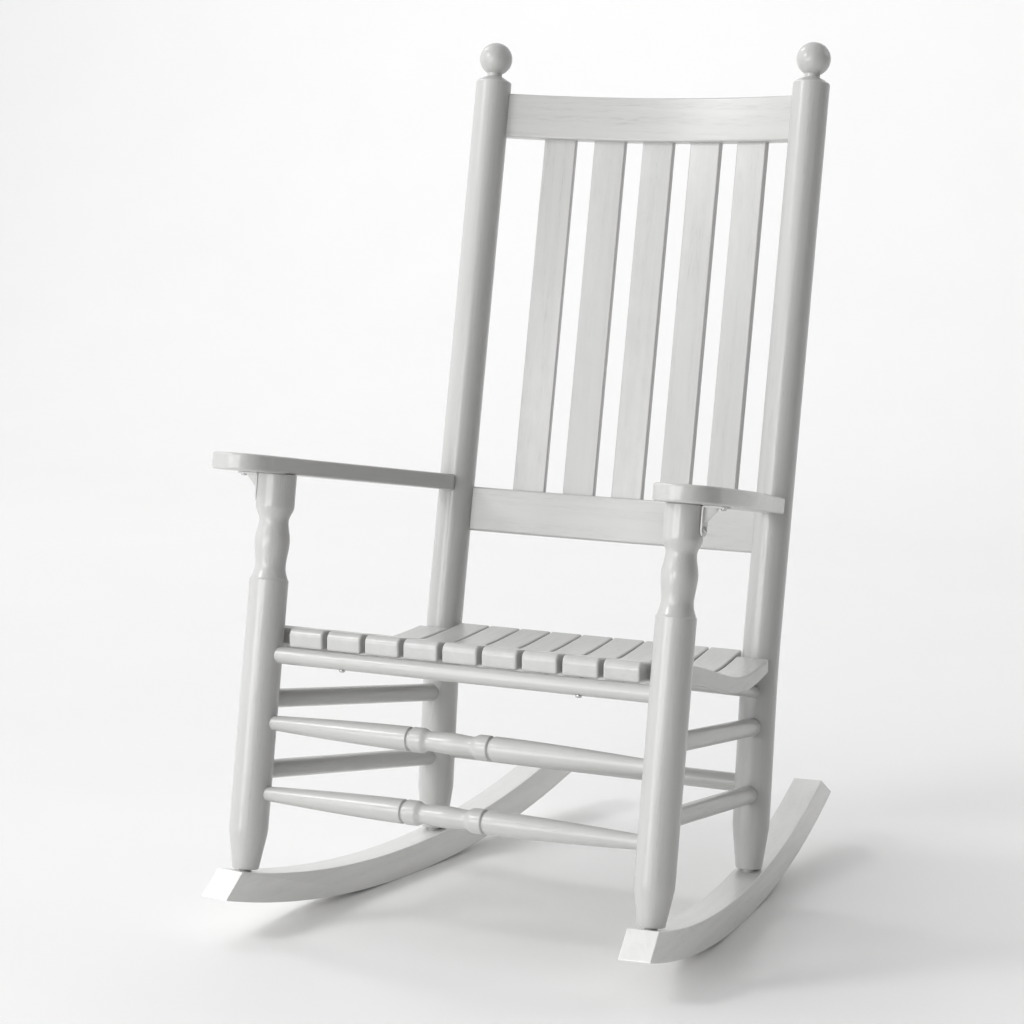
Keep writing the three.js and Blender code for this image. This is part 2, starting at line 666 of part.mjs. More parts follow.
const acrossFront = [frontAxis(-1, SEAT_RAIL_Z), frontAxis(1, SEAT_RAIL_Z)];
const frontRail = bar("seat_rail_front", ...acrossFront, FRONT_RAIL_R, paint, frontPosts);
const acrossBack = (z) => [backAxis(-1, z), backAxis(1, z)];
bar("seat_rail_rear", ...acrossBack(REAR_RAIL_Z), REAR_RAIL_R, paint, backPosts);
bar("rear_stretcher", ...acrossBack(REAR_STRETCHER_Z), STRETCHER_R, paint, backPosts);
frontStretcher("front_stretcher_upper", FRONT_STRETCHERS_Z.upper, frontPosts);
frontStretcher("front_stretcher_lower", FRONT_STRETCHERS_Z.lower, frontPosts);

SIDES.forEach((side, i) => {
  const posts = [frontPosts[i], backPosts[i]];
  const outerSlat = side > 0 ? slats[slats.length - 1] : slats[0];
  const fromTo = ({ front, back }) => [frontAxis(side, front), backAxis(side, back)];
  bar(sideName("seat_rail", side), ...fromTo(SIDE_RAIL_Z), SIDE_RAIL_R, paint, [...posts, outerSlat]);
  for (const [level, heights] of Object.entries(SIDE_STRETCHERS_Z)) {
    const name = sideName("side_stretcher_" + level, side);
    bar(name, ...fromTo(heights), STRETCHER_R, shadedPaint, posts);
  }
  braceScrews(side, brace(side), { arm: arms[i], post: frontPosts[i] });
  const behindPost = onBack(side * BACK_HALF_SPAN, 0, 0);
  const armMiddle = onArm(0, ARM_END, ARM_THICK / 2);
  const height = armMiddle.clone().sub(behindPost).setX(0).dot(alongBack);
  const seat = onBack(side * BACK_HALF_SPAN, height, POST_R);
  screw(sideName("arm_screw", side), seat, behindBack.clone().negate(), ARM_SCREW, [backPosts[i], arms[i]]);
});

for (const index of [-SCREWED_SLAT, SCREWED_SLAT]) {
  const slat = slats[index + INNER_SLATS + 1];
  const inward = upAlong(SEAT_SCREW_LEAN);
  const onRail = v3(index * slatPitch(FRONT_POST_Y), FRONT_POST_Y, SEAT_RAIL_Z);
  const under = onRail.addScaledVector(inward, -FRONT_RAIL_R - GAP);
  screw(sideName("seat_screw", index), under, inward, SEAT_SCREW, [frontRail, slat]);
}

cutAll();

export default chair;
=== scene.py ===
import math
import random

import bmesh
import bpy
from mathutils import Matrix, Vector


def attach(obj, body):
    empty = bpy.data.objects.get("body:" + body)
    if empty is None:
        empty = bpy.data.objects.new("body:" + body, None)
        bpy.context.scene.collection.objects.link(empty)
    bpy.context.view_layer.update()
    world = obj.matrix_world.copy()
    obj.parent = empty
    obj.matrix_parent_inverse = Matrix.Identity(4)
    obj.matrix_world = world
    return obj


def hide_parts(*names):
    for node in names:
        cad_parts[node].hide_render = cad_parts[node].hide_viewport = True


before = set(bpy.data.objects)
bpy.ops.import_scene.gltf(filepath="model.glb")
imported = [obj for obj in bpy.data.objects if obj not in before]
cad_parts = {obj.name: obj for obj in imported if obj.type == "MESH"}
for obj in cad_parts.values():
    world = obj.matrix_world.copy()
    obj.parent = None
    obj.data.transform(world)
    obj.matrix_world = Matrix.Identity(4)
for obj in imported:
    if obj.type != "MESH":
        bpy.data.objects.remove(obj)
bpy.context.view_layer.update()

MM = 0.001
SIDES = (1, -1)
HOLD = 0.4  # a rounding is followed by a point this far on, which keeps the flat beside it flat
rng = random.Random(7)  # shifts the grain from piece to piece

# ---- driving dimensions ----
# They are the CAD's, but for the ball, which is a little smaller so that it stays inside the CAD's box. The
# turned beads and the front posts' necks, further down, are drawn finer than in the CAD.
FRONT_HALF_SPAN = 288
BACK_HALF_SPAN = 240
POST_R = 25.3
FRONT_LEAN = math.radians(10.2)
BACK_LEAN_LOW = math.radians(6.3)
BACK_LEAN_HIGH = math.radians(11.5)
SEAT_RAIL_Z = 357
FRONT_POST_Y = -303.7
BEND_Z = 319
BACK_POST_Y = 95
BEND_LENGTH = 120

CONTACT_Y = -22
ROCKER_R = 1405
ROCKER_TOP_R = 1345
ROCKER_TOP_SHIFT = -12
ROCKER_DEPTH = 40.5
ROCKER_WIDTH = 41
ROCKER_REACH = 420.5
ROCKER_FRONT_CUT = 34.5
ROCKER_REAR_CUT = 56.5
ROCKER_FLAT = 20  # the underside is flat over this length, where it stands on the floor
ROCKER_CORNER = 1.5
ROCKER_EDGE = 1
FRONT_FOOT_LIFT = 3.4
BACK_FOOT_LIFT = 3.7
FOOT_R = 17
TENON_R = 8
TENON_DEPTH = 22

SEAT_FRONT_Y = -305
SEAT_REAR_Y = 99
OUTER_SLAT_FRONT_Y = -274
OUTER_SLAT_REAR_Y = 69
SLAT_PITCH = (55.9, 47.5)  # at the front and at the rear of the seat
SLAT_WIDTH = (49, 45.5)
SLAT_THICK = (25.4, 18)
NOSING_R = 10
INNER_SLATS = 4

FRONT_RAIL_R = 11
REAR_RAIL_R = 10.5
REAR_RAIL_Z = 307
SIDE_RAIL_R = 8
SIDE_RAIL_Z = (374, 282)  # at the front and at the back post
STRETCHER_R = 12.3
FRONT_STRETCHER_END_R = 9.5
BEAD_SHIFT = -2.2  # the turned beads sit this far off the middle
SIDE_STRETCHERS_Z = {"upper": (299, 237), "lower": (208, 147.3)}
FRONT_STRETCHERS_Z = {"upper": 270.5, "lower": 180.5}
REAR_STRETCHER_Z = 159.5
SOCKET_DEPTH = 14

BOW = 30  # how far the back's rails curve back at the middle
RAIL_THICK = 22
RAIL_BACK = RAIL_THICK / 2
TOP_RAIL = (705.3, 766.2)
LOWER_RAIL = (148, 209.5)
RAIL_END_DEPTH = 12
BACK_SLAT_PITCH = 73
BACK_SLAT_WIDTH = 46.5
BACK_SLAT_SHIFT = 3.8  # and the row of back slats this far
BACK_SLAT_THICK = 10
BACK_SLAT_SET_BACK = 4
BACK_SLAT_DEPTH = 14
SHOULDER_ALONG = 781.5
BALL_ALONG = 814
BALL_R = 22.9
BALL_NECK_R = 10.4

ARM_TILT = math.radians(9.9)
ARM_THICK = 22
ARM_NOSE_X = 310.5
ARM_NOSE_R = 43
ARM_NOSE_ALONG = -43
ARM_END_X = (229, 266)  # its inner and outer corners at the back post
ARM_WAIST_X = (243, 296)  # where its long curves are steered from
ARM_WAIST_SHARE = 0.62
ARM_SWELL_SHARE = 0.28
ARM_EDGE = 3.2
ARM_CORNER = 4
ARM_UNDERSIDE = 511.5
ARM_TENON_R = 10
ARM_TENON_DEPTH = 12

BRACE_WIDTH = 17
BRACE_THICK = 2.4
BRACE_REACH = 34
BRACE_DROP = 38
GAP = 0.3
BRACE_OFFSET = 25 + GAP
BRACE_SCREW = {"head_r": 4.2, "head_height": 2.4, "shank_r": 2, "length": 15}
ARM_SCREW = {"head_r": 5.5, "head_height": 3, "shank_r": 2.8, "length": 95}
SEAT_SCREW = {"head_r": 4.2, "head_height": 2.6, "shank_r": 2, "length": 36}
SEAT_SCREW_LEAN = math.radians(20)
SCREWED_SLAT = 3


# ---- small sums ----
def mix(a, b, t):
    return a + (b - a) * t


def spaced(start, end, steps):
    return [mix(start, end, i / steps) for i in range(steps + 1)]


def smooth(t):
    t = min(max(t, 0), 1)
    return t * t * (3 - 2 * t)


def up_along(lean):
    return Vector((0, math.sin(lean), math.cos(lean)))


def rear_along(lean):
    return Vector((0, math.cos(lean), -math.sin(lean)))


def side_name(stem, side):
    return stem + ("_left" if side > 0 else "_right")


# ---- outlines ----
# An outline is a list of (a, b, edge). edge is 1 on the crest of a small rounding, where paint is thin and
# where the materials paint a highlight along the edge.
def eased(start, end, steps=12):
    """Points between two stations whose radius eases smoothly from one to the other."""
    (a0, r0), (a1, r1) = start, end
    return [(mix(a0, a1, t), mix(r0, r1, (1 - math.cos(math.pi * t)) / 2), 0) for t in spaced(0, 1, steps)]


def rounded(corners, closed=False, steps=5):
    """Softens corners given as (a, b, radius). The first and last of an open line stay sharp."""
    points = []
    last = len(corners) - 1
    for i, (a, b, radius) in enumerate(corners):
        if radius <= 0 or (not closed and i in (0, last)):
            points.append((a, b, 0))
            continue
        here = Vector((a, b))
        arriving = here - Vector(corners[i - 1][:2])
        leaving = Vector(corners[0 if i == last else i + 1][:2]) - here
        room = min(arriving.length, leaving.length) * 0.45
        arriving.normalize()
        leaving.normalize()
        turn = arriving.angle(leaving)
        cut = min(radius * math.tan(turn / 2), room)
        hold = min(HOLD, room * 0.1)
        start = here - arriving * cut
        end = here + leaving * cut
        centre = here + (leaving - arriving).normalized() * cut / math.sin(turn / 2)
        crest = min(turn, 1) if radius < 5 else 0
        before = start - arriving * hold
        after = end + leaving * hold
        points.append((before.x, before.y, 0))
        for t in spaced(0, 1, steps):
            p = centre + (start - centre) * math.sin(turn * (1 - t)) / math.sin(turn)
            p += (end - centre) * math.sin(turn * t) / math.sin(turn)
            points.append((p.x, p.y, crest * math.sin(math.pi * t)))
        points.append((after.x, after.y, 0))
    return points


def area_of(outline):
    return sum(p[0] * q[1] - q[0] * p[1] for p, q in zip(outline, outline[1:] + outline[:1])) / 2


def inset(outline, distance):
    """The closed outline moved inwards. It runs anticlockwise."""
    moved = []
    count = len(outline)
    for i, (a, b, _) in enumerate(outline):
        before = Vector((a, b)) - Vector(outline[i - 1][:2])
        after = Vector(outline[(i + 1) % count][:2]) - Vector((a, b))
        before.normalize()
        after.normalize()
        normal = Vector((-before.y - after.y, before.x + after.x)).normalized()
        reach = distance / max(normal.dot(Vector((-after.y, after.x))), 0.3)
        moved.append((a + normal.x * reach, b + normal.y * reach))
    return moved


# ---- rings ----
# A shape is a list of rings, each a closed loop of (point, edge). Neighbouring rings are joined.
def turned(profile, segments=72):
    """A turned shape on the Z axis from a profile of (distance up the axis, radius, edge)."""
    rings = []
    for along, r, edge in profile:
        angles = [2 * math.pi * i / segments for i in range(segments)]
        rings.append([(Vector((r * math.cos(t), r * math.sin(t), along)), edge) for t in angles])
    return rings


def board(outline, half, radius, steps=5):
    """A board with an outline in its first two coordinates and its faces at +half and -half in the third.
    half may depend on the place. All its edges are rounded by radius."""
    if area_of(outline) < 0:
        outline = outline[::-1]
    way = [(radius + HOLD, 0, 0)]
    for angle in spaced(0, math.pi / 2, steps):
        way.append((radius * (1 - math.sin(angle)), radius * (1 - math.cos(angle)), math.sin(2 * angle)))
    way.append((0, radius + HOLD, 0))
    rings = []
    for face in (-1, 1):
        for inwards, sunk, crest in way if face < 0 else way[::-1]:
            ring = []
            for (a, b), (_, _, edge) in zip(inset(outline, inwards), outline):
                ring.append((Vector((a, b, face * (half(a, b) - sunk))), max(crest, edge)))
            rings.append(ring)
    return rings


def swept(section, stations):
    """A closed section of (a, b, edge) repeated at stations along the third coordinate."""
    return [[(Vector((a, b, station)), edge) for a, b, edge in section] for station in stations]


def placed(rings, place):
    """The rings with every point moved by place, each with its old point kept to lay the grain on."""
    return [[(place(p), p, edge) for p, edge in ring] for ring in rings]


def aimed(start, end):
    """A function that turns points on the Z axis so that they run from start towards end."""
    turn = Vector((0, 0, 1)).rotation_difference((end - start).normalized())
    return lambda p: turn @ p + start


# ---- pieces ----
SHARP = math.radians(35)  # an edge that turns by more than this is shaded as a crease


def piece(node, rings, place, look, along=2):
    """Makes the mesh that stands for a CAD node. along is the local coordinate that the grain follows."""
    count = len(rings[0])
    rows = [entry for ring in placed(rings, place) for entry in ring]
    faces = []
    for k in range(len(rings) - 1):
        a = k * count
        b = a + count
        for i in range(count):
            j = (i + 1) % count
            faces.append((a + i, a + j, b + j, b + i))
    last = (len(rings) - 1) * count
    faces.append(tuple(range(count))[::-1])
    faces.append(tuple(range(last, last + count)))
    mesh = bpy.data.meshes.new(node + "_fine")
    mesh.from_pydata([p * MM for p, _, _ in rows], [], faces)
    form = bmesh.new()
    form.from_mesh(mesh)
    bmesh.ops.recalc_face_normals(form, faces=form.faces)
    form.to_mesh(mesh)
    form.free()

    shift = Vector((rng.uniform(-9, 9), rng.uniform(-9, 9), rng.uniform(-9, 9)))
    across = [i for i in range(3) if i != along]
    flow = []
    for _, local, _ in rows:
        flow.extend(Vector((local[across[0]], local[across[1]], local[along])) * MM + shift)
    mesh.attributes.new("grain", "FLOAT_VECTOR", "POINT").data.foreach_set("vector", flow)
    # the edge value is kept for the materials, which lighten the edges: partly thin paint, partly a painted
    # highlight
    mesh.attributes.new("edge_wear_and_highlight", "FLOAT", "POINT").data.foreach_set("value", [edge for _, _, edge in rows])
    mesh.polygons.foreach_set("use_smooth", [True] * len(mesh.polygons))
    mesh.set_sharp_from_angle(angle=SHARP)
    mesh.materials.append(look)
    made = bpy.data.objects.new(node + "_fine", mesh)
    bpy.context.scene.collection.objects.link(made)
    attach(made, "root")
    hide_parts(node)


# ---- materials ----
class Nodes:
    """Short calls for building a node tree."""

    def __init__(self, name):
        self.material = bpy.data.materials.new(name)
        self.material.use_nodes = True
        self.tree = self.material.node_tree
        self.shader = self.tree.nodes["Principled BSDF"]

    def add(self, kind, **settings):
        node = self.tree.nodes.new(kind)
        for key, value in settings.items():
            setattr(node, key, value)
        return node

    def feed(self, node, **inputs):
        """Sets or links inputs. Underscores in a name stand for spaces."""
        for key, value in inputs.items():
            socket = node.inputs[key.replace("_", " ")]
            if isinstance(value, bpy.types.NodeSocket):
                self.tree.links.new(value, socket)
            else:
                socket.default_value = value

    def grain(self, scale):
        """The grain coordinates, stretched by scale across, across and along the grain."""
        attribute = self.add("ShaderNodeAttribute", attribute_name="grain")
        mapping = self.add("ShaderNodeMapping")
        self.feed(mapping, Vector=attribute.outputs["Vector"], Scale=scale)
        return mapping.outputs["Vector"]

    # the edge value: partly wear of thin paint, partly where a highlight along the edge is painted
    def edge_wear_and_highlight(self):
        return self.add("ShaderNodeAttribute", attribute_name="edge_wear_and_highlight").outputs["Fac"]

    def noise(self, vector, scale, detail=2.0, roughness=0.5, distortion=0.0):
        node = self.add("ShaderNodeTexNoise")
        self.feed(node, Vector=vector, Scale=scale, Detail=detail, Roughness=roughness, Distortion=distortion)
        return node.outputs["Fac"]

    def ranged(self, value, low, high, to_low, to_high):
        node = self.add("ShaderNodeMapRange", clamp=True)
        self.feed(node, Value=value, From_Min=low, From_Max=high, To_Min=to_low, To_Max=to_high)
        return node.outputs["Result"]

    def maths(self, operation, a, b):
        node = self.add("ShaderNodeMath", operation=operation)
        for socket, value in zip(node.inputs, (a, b)):
            if isinstance(value, bpy.types.NodeSocket):
                self.tree.links.new(value, socket)
            else:
                socket.default_value = value
        return node.outputs["Value"]

    def blend(self, share, a, b):
        """A colour between a and b."""
        node = self.add("ShaderNodeMix", data_type="RGBA")
        for index, value in ((0, share), (6, a), (7, b)):
            socket = node.inputs[index]
            if isinstance(value, bpy.types.NodeSocket):
                self.tree.links.new(value, socket)
            else:
                socket.default_value = value
        return node.outputs[2]

    def bump(self, height, distance, strength=1.0, normal=None):
        node = self.add("ShaderNodeBump")
        self.feed(node, Height=height, Distance=distance, Strength=strength)
        if normal is not None:
            self.feed(node, Normal=normal)
        return node.outputs["Normal"]


def painted_wood(name, brightness):
    """Satin paint over open-grained hardwood: the pores and growth rings show through as fine relief.
    brightness scales all its tones."""
    n = Nodes(name)

    def paint(red, green, blue):
        return (red * brightness, green * brightness, blue * brightness, 1)

    rings = n.noise(n.grain((60, 60, 2.2)), 1, detail=3, distortion=1.2)
    fibres = n.noise(n.grain((900, 900, 22)), 1, detail=2)
    pores = n.noise(n.grain((1500, 1500, 50)), 1, detail=1)
    pits = n.ranged(pores, 0.6, 0.72, 0, 1)
    porous = n.ranged(rings, 0.42, 0.62, 0.15, 1)
    pits = n.maths("MULTIPLY", pits, porous)
    brushed = n.noise(n.grain((240, 240, 30)), 1, detail=2)
    patches = n.noise(n.grain((9, 9, 5)), 1, detail=3)
    edge_breakup = n.ranged(n.noise(n.grain((70, 70, 25)), 1, detail=3), 0.35, 0.65, 0.3, 1)
    lit_worn_edges = n.maths("MULTIPLY", n.edge_wear_and_highlight(), edge_breakup)

    tone = n.blend(patches, paint(0.483, 0.483, 0.474), paint(0.53, 0.526, 0.512))
    tone = n.blend(n.maths("MULTIPLY", n.ranged(rings, 0.4, 0.6, 0, 1), 0.2), tone, paint(0.43, 0.427, 0.415))
    tone = n.blend(n.maths("MULTIPLY", pits, 0.35), tone, paint(0.31, 0.308, 0.3))
    # lighter on the crests of small roundings: partly thin paint, partly a painted highlight along the edges
    tone = n.blend(n.maths("MULTIPLY", lit_worn_edges, 0.4), tone, paint(0.66, 0.655, 0.64))
    rough = n.maths("ADD", n.ranged(brushed, 0.3, 0.7, 0.3, 0.4), n.maths("MULTIPLY", pits, 0.15))
    rough = n.maths("ADD", rough, n.maths("MULTIPLY", patches, 0.06))
    relief = n.bump(fibres, 0.00018, 0.55)
    relief = n.bump(brushed, 0.0003, 0.4, relief)
    relief = n.bump(rings, 0.0009, 0.45, relief)
    relief = n.bump(n.maths("MULTIPLY", pits, -1), 0.00015, 0.8, relief)
    n.feed(n.shader, Base_Color=tone, Roughness=rough, Normal=relief)
    n.feed(n.shader, Coat_Weight=0.6, Coat_Roughness=0.2)
    return n.material


def painted_steel():
    """Thicker, smoother paint over pressed steel, with slight orange peel, and edges painted lighter: partly
    thin paint, partly a painted highlight.
    """
    n = Nodes("painted_steel")
    peel = n.noise(n.grain((900, 900, 900)), 1, detail=1)
    patches = n.noise(n.grain((60, 60, 60)), 1, detail=3)
    lit_worn_edges = n.maths("MULTIPLY", n.edge_wear_and_highlight(), n.ranged(patches, 0.4, 0.6, 0.2, 1))
    tone = n.blend(patches, (0.6, 0.6, 0.59, 1), (0.65, 0.646, 0.63, 1))
    # lighter on the edges: partly thin paint, partly a painted highlight
    tone = n.blend(n.maths("MULTIPLY", lit_worn_edges, 0.35), tone, (0.74, 0.74, 0.73, 1))
    n.feed(n.shader, Base_Color=tone, Roughness=n.ranged(patches, 0.3, 0.7, 0.26, 0.38))
    n.feed(n.shader, Normal=n.bump(peel, 0.0001, 0.4), Coat_Weight=0.3, Coat_Roughness=0.15)
    return n.material


def zinc():
    """Bright zinc plating on a screw: faintly mottled, brighter on its edges, partly wear and partly a
    painted glint.
    """
    n = Nodes("zinc_screw")
    mottle = n.noise(n.grain((700, 700, 700)), 1, detail=4)
    tone = n.blend(mottle, (0.42, 0.43, 0.44, 1), (0.62, 0.62, 0.6, 1))
    # brighter on the edges: partly wear, partly a painted glint
    tone = n.blend(n.maths("MULTIPLY", n.edge_wear_and_highlight(), 0.5), tone, (0.78, 0.78, 0.77, 1))
    n.feed(n.shader, Base_Color=tone, Roughness=n.ranged(mottle, 0.3, 0.7, 0.24, 0.42), Metallic=1.0)
    n.feed(n.shader, Normal=n.bump(mottle, 0.00006, 0.5))
    return n.material


# The rockers get a brighter copy of the wood's paint: painted light, standing in for the light that the floor
# throws up onto them.
ROCKER_PAINTED_LIGHT = 1.6  # fitted to the main view; it makes the rockers whiter than the rest
WOOD = painted_wood("painted_wood", 1)
ROCKER_WOOD_PAINTED_LIGHT = painted_wood("rocker_paint_with_painted_light", ROCKER_PAINTED_LIGHT)
STEEL = painted_steel()
ZINC = zinc()


def wooden(node, rings, place, along=2, look=WOOD):
    piece(node, rings, place, look, along)


# ---- axes of the posts ----
def front_axis(side, z):
    return Vector((side * FRONT_HALF_SPAN, FRONT_POST_Y + math.tan(FRONT_LEAN) * (z - SEAT_RAIL_Z), z))


def back_axis(side, z):
    lean = BACK_LEAN_LOW if z < BEND_Z else BACK_LEAN_HIGH
    return Vector((side * BACK_HALF_SPAN, BACK_POST_Y + math.tan(lean) * (z - BEND_Z), z))


ALONG_BACK = up_along(BACK_LEAN_HIGH)
BEHIND_BACK = rear_along(BACK_LEAN_HIGH)


def on_back(x, along, behind):
    """A point by its distance up the leaning back and its distance behind the post axes."""
    return Vector((x, BACK_POST_Y, BEND_Z)) + ALONG_BACK * along + BEHIND_BACK * behind


# ---- rockers ----
def drop(r, run):
    return math.sqrt(r ** 2 - run ** 2)


def rocker_bottom_z(run):
    return max(drop(ROCKER_R, ROCKER_FLAT / 2) - drop(ROCKER_R, run), 0)


def rocker_top_z(run):
    return ROCKER_DEPTH + ROCKER_TOP_R - drop(ROCKER_TOP_R, run - ROCKER_TOP_SHIFT)


def place_feet():
    """The feet stand on the rockers, and the rockers toe in to pass under both feet."""
    front = front_axis(1, 0)
    back = back_axis(1, 0)
    toe_in = 0
    for _ in range(8):
        front = front_axis(1, rocker_top_z((front.y - CONTACT_Y) / math.cos(toe_in)) + FRONT_FOOT_LIFT)
        back = back_axis(1, rocker_top_z((back.y - CONTACT_Y) / math.cos(toe_in)) + BACK_FOOT_LIFT)
        toe_in = math.atan2(front.x - back.x, back.y - front.y)
    return front, back, toe_in


FRONT_FOOT, BACK_FOOT, TOE_IN = place_feet()


def rocker(side):
    corner = ROCKER_WIDTH / 2 * math.sin(TOE_IN)
    front_tip = (corner - ROCKER_REACH - CONTACT_Y) / math.cos(TOE_IN)
    rear_tip = (ROCKER_REACH - corner - CONTACT_Y) / math.cos(TOE_IN)
    bottom = [(run, rocker_bottom_z(run), 0) for run in spaced(front_tip, rear_tip, 90)]
    top_runs = spaced(rear_tip - ROCKER_REAR_CUT, front_tip + ROCKER_FRONT_CUT, 80)
    top = [(run, rocker_top_z(run), 0) for run in top_runs]
    for line in (bottom, top):
        for end in (0, -1):
            line[end] = (*line[end][:2], ROCKER_CORNER)
    shape = board(rounded(bottom + top, closed=True), lambda run, z: ROCKER_WIDTH / 2, ROCKER_EDGE)
    share = (CONTACT_Y - FRONT_FOOT.y) / (BACK_FOOT.y - FRONT_FOOT.y)
    middle_x = mix(FRONT_FOOT.x, BACK_FOOT.x, share)

    def place(p):
        run, z, across = p
        x = across * math.cos(TOE_IN) - run * math.sin(TOE_IN)
        y = across * math.sin(TOE_IN) + run * math.cos(TOE_IN)
        return Vector((side * (middle_x + x), CONTACT_Y + y, z))

    wooden(side_name("rocker", side), shape, place, along=0, look=ROCKER_WOOD_PAINTED_LIGHT)


# ---- posts ----
FOOT_EDGE = 1.2
FRONT_FLARE = 49  # a post swells from its foot to its full size over this length
FRONT_FLARE_ROUND = 55
BODY_TOP = 374
# Stations up the front post's turned part, as (distance up the post, radius).
COVE = (BODY_TOP + 2, 23.9)
LOWER_NECK = (393, 20)
BULGE = (424, 22.8)
UPPER_NECK = (451, 19.2)
CAPITAL = (470, 25)
CAPITAL_BEVEL = 0.8
POST_SEGMENTS = 96


def front_post(side):
    foot = rounded([
        (-TENON_DEPTH, TENON_R, 0),
        (0, TENON_R, 0),
        (0, FOOT_R, FOOT_EDGE),
        (FRONT_FLARE, POST_R, FRONT_FLARE_ROUND),
        (BODY_TOP, POST_R, 1),
        (*COVE, 0),
    ], steps=7)
    (cove_z, cove_r), (neck_z, neck_r) = COVE, LOWER_NECK
    waist = [
        (mix(cove_z, neck_z, t), mix(cove_r, neck_r, math.sin(t * math.pi / 2)), 0)
        for t in spaced(0, 1, 12)
    ]
    stations = (LOWER_NECK, BULGE, UPPER_NECK, CAPITAL)
    for start, end in zip(stations, stations[1:]):
        waist += eased(start, end)[1:]
    capital_z, capital_r = CAPITAL
    top = ARM_UNDERSIDE - GAP
    capital = [
        (capital_z + 1, capital_r, 0),
        (top - 1, capital_r, 0),
        (top, capital_r - CAPITAL_BEVEL, 0),
        (top, ARM_TENON_R, 0),
        (ARM_UNDERSIDE + ARM_TENON_DEPTH, ARM_TENON_R, 0),
    ]
    base = front_axis(side, FRONT_FOOT.z)
    shape = turned(foot[:-1] + waist + capital, POST_SEGMENTS)
    wooden(side_name("front_post", side), shape, aimed(base, base + up_along(FRONT_LEAN)))


BACK_R = POST_R - 0.5
BACK_FOOT_R = FOOT_R + 0.6
BACK_FLARE = 58
BACK_FLARE_ROUND = 60
PAST_BEND = 10  # the profile has a station this far outside each end of the bend
LOWER_LENGTH = (BEND_Z - BACK_FOOT.z) / math.cos(BACK_LEAN_LOW)


def bend_post(p):
    """Bends a straight post on the Z axis to the two leans, easing between them over BEND_LENGTH."""
    start = LOWER_LENGTH - BEND_LENGTH / 2
    bend_r = BEND_LENGTH / (BACK_LEAN_HIGH - BACK_LEAN_LOW)
    angle = min(max(p.z - start, 0), BEND_LENGTH) / bend_r
    past = max(0, p.z - start - BEND_LENGTH)
    y = bend_r * (1 - math.cos(angle)) + past * math.sin(angle) + p.y * math.cos(angle)
    z = min(p.z, start) + bend_r * math.sin(angle) + past * math.cos(angle) - p.y * math.sin(angle)
    return Vector((p.x, y, z))


def back_post(side):
    shoulder = LOWER_LENGTH + SHOULDER_ALONG
    ball = LOWER_LENGTH + BALL_ALONG
    start = LOWER_LENGTH - BEND_LENGTH / 2
    lower = rounded([
        (-TENON_DEPTH, TENON_R, 0),
        (0, TENON_R, 0),
        (0, BACK_FOOT_R, FOOT_EDGE),
        (BACK_FLARE, BACK_R, BACK_FLARE_ROUND),
        (start - PAST_BEND, BACK_R, 0),
    ], steps=7)
    bend = [(along, BACK_R, 0) for along in spaced(start, start + BEND_LENGTH, 16)]
    top = rounded([
        (start + BEND_LENGTH + PAST_BEND, BACK_R, 0),
        (shoulder - 0.4, BACK_R, 2.6),
        (shoulder + 5.4, 15.5, 5),
        (shoulder + 7.2, BALL_NECK_R, 1.6),
        (shoulder + 16, BALL_NECK_R, 0),
    ], steps=7)
    first = math.pi - math.asin(BALL_NECK_R / BALL_R)
    crown = [(ball + BALL_R * math.cos(t), BALL_R * math.sin(t), 0) for t in spaced(first, 0.12, 40)]
    base = back_axis(side, BACK_FOOT.z)
    lean = aimed(base, base + up_along(BACK_LEAN_LOW))
    profile = lower + bend + [p for p in top if p[0] < crown[0][0]] + crown
    wooden(side_name("back_post", side), turned(profile, POST_SEGMENTS), lambda p: lean(bend_post(p)))


# ---- seat ----
# Points (y, z) along the top of the slats, from the front to the rear.
SEAT_TOP = [
    (SEAT_FRONT_Y + NOSING_R, 393.8),
    (-232, 380.8),
    (-150, 357.5),
    (-76, 337),
    (0, 329.1),
    (SEAT_REAR_Y, 336.5),
]


def catmull(points, share):
    """A point on the smooth curve through the points."""
    last = len(points) - 1
    at = share * last
    i = min(int(at), last)
    t = at - i
    p0, p1, p2, p3 = (Vector(points[min(max(k, 0), last)]) for k in (i - 1, i, i + 1, i + 2))
    v0 = (p2 - p0) / 2
    v1 = (p3 - p1) / 2
    return (p1 * 2 - p2 * 2 + v0 + v1) * t ** 3 + (p2 * 3 - p1 * 3 - v0 * 2 - v1) * t ** 2 + v0 * t + p1


SEAT_TOP_POINTS = [catmull(SEAT_TOP, share) for share in spaced(0, 1, 60)]


def seat_top_z(y):
    for a, b in zip(SEAT_TOP_POINTS, SEAT_TOP_POINTS[1:]):
        if y <= b.x:
            return mix(a.y, b.y, max((y - a.x) / (b.x - a.x), 0))
    return SEAT_TOP_POINTS[-1].y


def seat_size(front_and_rear, y):
    return mix(*front_and_rear, (y - SEAT_FRONT_Y) / (SEAT_REAR_Y - SEAT_FRONT_Y))


